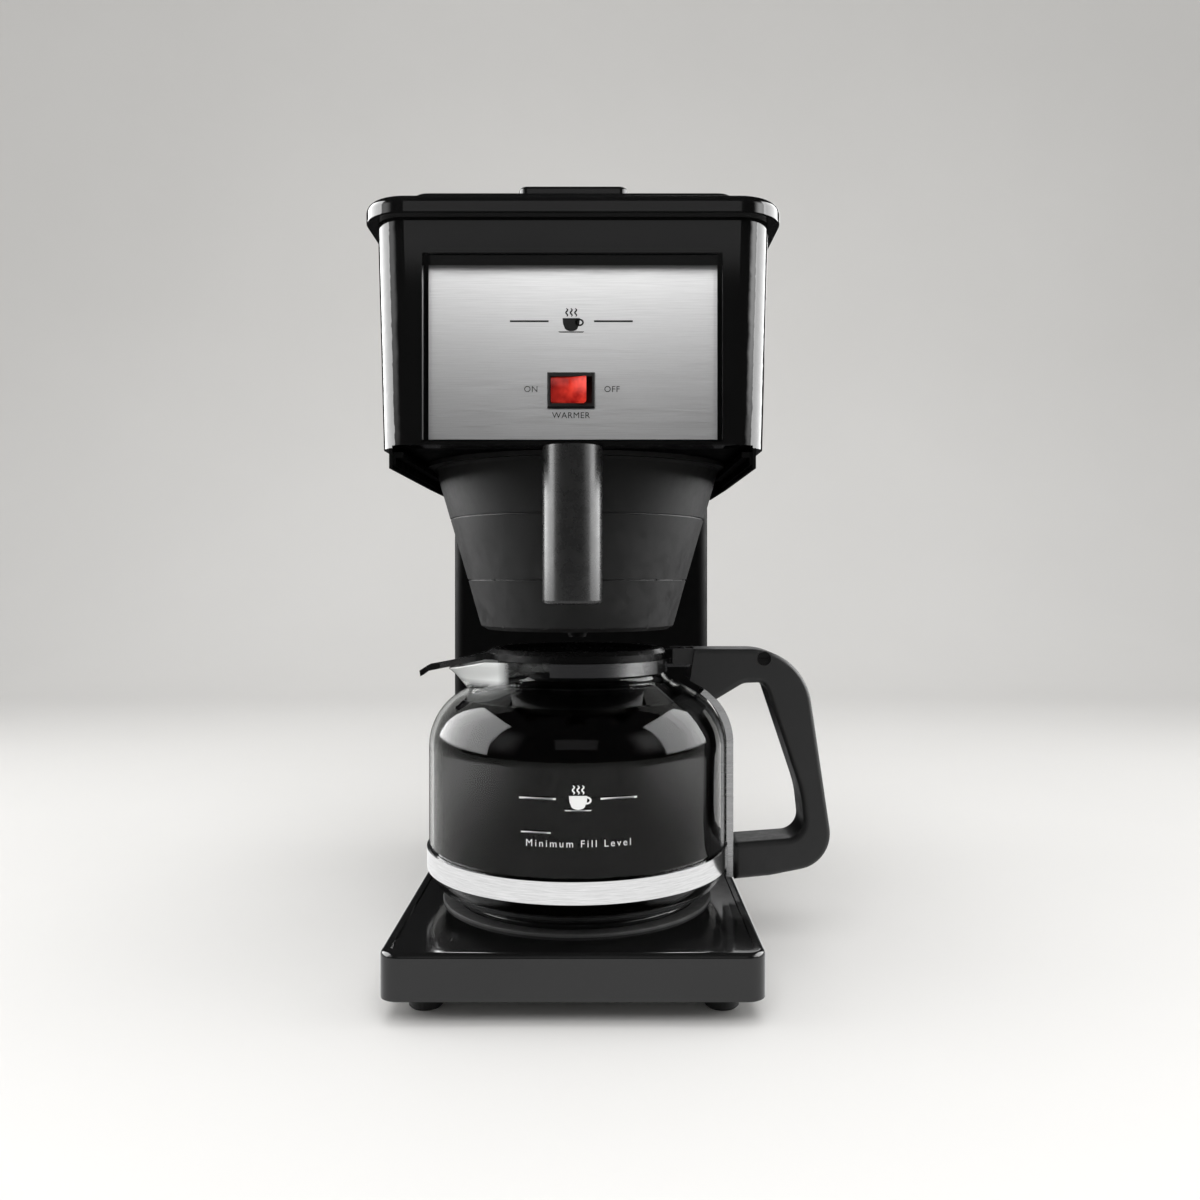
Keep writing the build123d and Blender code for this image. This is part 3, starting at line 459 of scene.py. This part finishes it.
# ---- switch and valve ----
def make_rocker():
    """The lit rocker: a clear red lens with a hollow face and soft edges."""
    joint = next(j for j in frame["joints"] if j["name"] == "warmer_switch")
    half, front, middle, back, soft = 8.22, 5.46, 3.72, 1.4, 0.7
    tall, back_half, curve, rest_turn = 5.85, 5.2, 1.25, radians(-12)
    face = [(-half, -front)] + [(half * k / 14, -middle - (front - middle) * abs(k / 14) ** curve)
                                for k in range(-13, 14)] + [(half, -front)]
    outline = face + [(back_half, back), (-back_half, back)]
    bm = bmesh.new()
    rows = []
    for z, inset in ((-tall, soft), (-tall + 0.25 * soft, 0.3 * soft), (-tall + soft, 0.0),
                     (tall - soft, 0.0), (tall - 0.25 * soft, 0.3 * soft), (tall, soft)):
        rows.append([bm.verts.new(Vector((x * (1 - inset / half), y + (inset if y < -2 else 0), z)) * MM)
                     for x, y in outline])
    count = len(outline)
    for a, b in zip(rows, rows[1:]):
        for k in range(count):
            bm.faces.new([a[k], a[(k + 1) % count], b[(k + 1) % count], b[k]])
    bm.faces.new(rows[0])
    bm.faces.new(rows[-1])
    bmesh.ops.recalc_face_normals(bm, faces=bm.faces)
    mesh = bpy.data.meshes.new("rocker_lens")
    bm.to_mesh(mesh)
    bm.free()
    smooth(mesh, 50)
    obj = bpy.data.objects.new("rocker_lens", mesh)
    bpy.context.scene.collection.objects.link(obj)
    obj.location = joint["pos_m"]
    obj.rotation_euler = (0, 0, rest_turn)
    mesh.materials.append(MATERIALS["rocker_red"])
    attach(obj, "warmer_rocker")
    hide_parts("warmer_rocker")


def make_spring():
    """The valve's coil spring, built as one fixed coil in the CAD spring's box; it does not stretch when
    the valve stem rises.
    """
    low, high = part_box("valve_spring")
    x, y = (low.x + high.x) / 2, (low.y + high.y) / 2
    wire, turns, around, ring_points = 0.45 * MM, 3.75, 40, 10
    radius = (high.x - low.x) / 2 - wire
    z0, z1 = low.z + wire, high.z - wire
    bm = bmesh.new()
    total = int(turns * around)
    rows = []
    for k in range(total + 1):
        angle = 2 * pi * k / around
        centre = Vector((x + radius * cos(angle), y + radius * sin(angle), z0 + (z1 - z0) * k / total))
        out = Vector((cos(angle), sin(angle), 0))
        rows.append([bm.verts.new(centre + wire * (out * cos(b) + Vector((0, 0, 1)) * sin(b)))
                     for b in [2 * pi * m / ring_points for m in range(ring_points)]])
    for a, b in zip(rows, rows[1:]):
        for m in range(ring_points):
            n = (m + 1) % ring_points
            bm.faces.new([a[m], a[n], b[n], b[m]])
    bm.faces.new(rows[0])
    bm.faces.new(rows[-1])
    bmesh.ops.recalc_face_normals(bm, faces=bm.faces)
    mesh = bpy.data.meshes.new("valve_coil")
    bm.to_mesh(mesh)
    bm.free()
    smooth(mesh, 60)
    obj = bpy.data.objects.new("valve_coil", mesh)
    bpy.context.scene.collection.objects.link(obj)
    mesh.materials.append(MATERIALS["steel_plain"])
    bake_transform(obj)
    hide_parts("valve_spring")


make_coffee()
make_glass_prints()
make_panel_prints()
make_rocker()
make_spring()


# ---- studio ----
def make_floor():
    """A paper sweep: level under the machine, bent up into a wall behind it."""
    half, start, bend, wall = 14.0, 1.1, 0.9, 6.0
    line = [(-half + (half + start) * k / 40, 0.0) for k in range(40)]
    line += [(start + bend * sin(pi / 2 * k / 24), bend * (1 - cos(pi / 2 * k / 24))) for k in range(25)]
    line += [(start + bend, bend + (wall - bend) * k / 10) for k in range(1, 11)]
    bm = bmesh.new()
    rows = [[bm.verts.new((-half + 2 * half * k / 30, y, z)) for k in range(31)] for y, z in line]
    for near, far in zip(rows, rows[1:]):
        for k in range(30):
            bm.faces.new([near[k], near[k + 1], far[k + 1], far[k]])
    mesh = bpy.data.meshes.new("floor")
    bm.to_mesh(mesh)
    bm.free()
    smooth(mesh, 60)
    floor = bpy.data.objects.new("floor", mesh)
    bpy.context.scene.collection.objects.link(floor)
    s = Shader("floor_paper", Roughness=0.85, Specular_IOR_Level=0.15)
    s.set("Base Color", s.ramp(s.noise(1.5, 4.0), (0.76, 0.755, 0.745), (0.79, 0.785, 0.775)))
    s.bump(s.noise(260.0, 3.0), 0.08, 0.0002)
    mesh.materials.append(s.material)
    floor.visible_glossy = False


def soften(data, edge):
    """Fades a lamp's face towards its rim: edge is the faded share of the half width."""
    data.use_nodes = True
    tree = data.node_tree
    tree.nodes.clear()
    out = tree.nodes.new("ShaderNodeOutputLight")
    glow = tree.nodes.new("ShaderNodeEmission")
    place = tree.nodes.new("ShaderNodeNewGeometry")
    split = tree.nodes.new("ShaderNodeSeparateXYZ")
    tree.links.new(place.outputs["Parametric"], split.inputs["Vector"])
    fades = []
    for axis in ("X", "Y"):
        away = tree.nodes.new("ShaderNodeMath")
        away.operation = "PINGPONG"
        away.inputs[1].default_value = 0.5
        tree.links.new(split.outputs[axis], away.inputs[0])
        fade = tree.nodes.new("ShaderNodeMapRange")
        fade.interpolation_type = "SMOOTHSTEP"
        fade.inputs["From Max"].default_value = edge / 2
        tree.links.new(away.outputs["Value"], fade.inputs["Value"])
        fades.append(fade.outputs["Result"])
    both = tree.nodes.new("ShaderNodeMath")
    both.operation = "MULTIPLY"
    tree.links.new(fades[0], both.inputs[0])
    tree.links.new(fades[1], both.inputs[1])
    tree.links.new(both.outputs["Value"], glow.inputs["Strength"])
    tree.links.new(glow.outputs["Emission"], out.inputs["Surface"])


def area_light(name, place, aim, width, height, radiance, shown, edge=0.0, only=()):
    """A rectangular lamp at place facing aim, whose face has that radiance.
    only names the objects it lights; without it the lamp lights them all."""
    data = bpy.data.lights.new(name, "AREA")
    data.shape = "RECTANGLE"
    data.size = width
    data.size_y = height
    data.energy = radiance * pi * width * height
    if edge:
        soften(data, edge)
    lamp = bpy.data.objects.new(name, data)
    lamp.location = place
    lamp.rotation_euler = (Vector(aim) - Vector(place)).to_track_quat("-Z", "Y").to_euler()
    lamp.visible_camera = False
    lamp.visible_diffuse = "diffuse" in shown
    lamp.visible_glossy = "glossy" in shown
    lamp.visible_transmission = False
    bpy.context.scene.collection.objects.link(lamp)
    if only:
        lit = bpy.data.collections.new(name + "_lit")
        for word in only:
            lit.objects.link(bpy.data.objects[word])
        lamp.light_linking.receiver_collection = lit


def make_lights():
    """Cards and fills. Some cards light only the glass, the panel, the low parts or the others."""
    glassy = ("carafe_glass", "coffee", "neck_band", "carafe_lid")
    others = [o.name for o in bpy.context.scene.objects
              if o.type == "MESH" and o.name not in (*glassy, "front_panel", "floor")]
    low_parts = ("base_band", "base_shell", "feet", "carafe_handle", "handle_spine",
                 "funnel_handle", "hood_shell")
    both = ("diffuse", "glossy")
    over, under = (0.0, -0.35, 1.5), (0, -0.35, 0.0)
    front_high, machine = (0.0, -1.35, 1.3), (0, -0.15, 0.3)
    for side, radiance in ((-1, 8.5), (1, 8.0)):
        word = "left" if side < 0 else "right"
        area_light("side_panel_" + word, (side * 1.0, 0.12, 0.73), (0, 0.12, 0.73), 1.26, 1.16, radiance,
                   ("glossy",), 0.12)
        area_light("glass_side_" + word, (side * 1.15, -0.75, 0.75), (0, -0.05, 0.25), 0.9, 1.1,
                   1.15 + side * 0.3, ("glossy",), 0.9, glassy)
        area_light("glass_low_" + word, (side * 0.75, -0.25, 0.006), (side * 0.75, -0.25, 1.0), 1.0, 1.1,
                   2.4, ("glossy",), 0.9, glassy)
        area_light("side_front_" + word, (side * 1.15, -0.75, 0.75), (0, -0.05, 0.25), 0.9, 1.1,
                   4.0 + side * 1.8, ("glossy",), 0.9, others)
        area_light("side_fill_" + word, (side * 1.3, -0.1, 0.9), (0, 0, 0.1), 1.0, 1.0, 1.1, ("diffuse",))
    area_light("top_soft", over, under, 1.7, 2.3, 1.5, ("diffuse",), 0.5)
    area_light("top_sheen", over, under, 1.7, 2.3, 2.4, ("glossy",), 0.5, others)
    area_light("back_soft", (0.5, 1.8, 1.1), (0, 0.17, 0.2), 1.2, 1.0, 2.2, both, 0.5,
               (*others, *glassy))
    area_light("top_front", front_high, machine, 1.6, 0.8, 4.5, ("diffuse",), 0.4)
    area_light("upper_card", front_high, machine, 1.6, 0.8, 4.2, ("glossy",), 0.9, others)
    area_light("glass_card", front_high, machine, 1.6, 0.8, 0.9, ("glossy",), 0.9, glassy)
    area_light("panel_card", (0.0, -1.35, 1.15), machine, 1.8, 0.9, 7.2, ("glossy",), 0.8,
               ("front_panel",))
    area_light("front_card", (0.0, -2.2, 1.35), (0, -0.2, 0.3), 1.4, 0.8, 0.46, ("glossy",), 0.15)
    area_light("low_card", (0.0, -0.9, 0.004), (0, -0.9, 1.0), 4.4, 2.8, 1.0, ("glossy",), 0.05, low_parts)


def make_world():
    """Pale to the eye and through glass, dim in mirror-like reflections, soft for the rest."""
    world = bpy.data.worlds.new("studio")
    bpy.context.scene.world = world
    world.use_nodes = True
    tree = world.node_tree
    tree.nodes.clear()
    out = tree.nodes.new("ShaderNodeOutputWorld")
    path = tree.nodes.new("ShaderNodeLightPath")
    pale = tree.nodes.new("ShaderNodeBackground")
    pale.inputs["Color"].default_value = (0.62, 0.615, 0.605, 1)
    dim = tree.nodes.new("ShaderNodeBackground")
    dim.inputs["Color"].default_value = (0.03, 0.03, 0.031, 1)
    mix = tree.nodes.new("ShaderNodeMixShader")
    tree.links.new(path.outputs["Is Glossy Ray"], mix.inputs["Fac"])
    tree.links.new(pale.outputs["Background"], mix.inputs[1])
    tree.links.new(dim.outputs["Background"], mix.inputs[2])
    tree.links.new(mix.outputs["Shader"], out.inputs["Surface"])


def make_camera():
    """A level view from just above the carafe, close to the machine."""
    frame_width = 1200  # pixels, for the small shifts
    data = bpy.data.cameras.new("camera")
    data.sensor_width = 36.0
    data.lens = 30.6
    data.shift_x = -2 / frame_width
    data.shift_y = -19 / frame_width
    data.clip_start = 0.01
    camera = bpy.data.objects.new("camera", data)
    camera.location = at(13.1, -544.0, 197.9)
    camera.rotation_euler = (radians(90), 0, 0)
    bpy.context.scene.collection.objects.link(camera)
    bpy.context.scene.camera = camera


make_floor()
make_lights()
make_world()
make_camera()
bpy.context.scene.view_settings.view_transform = "Standard"
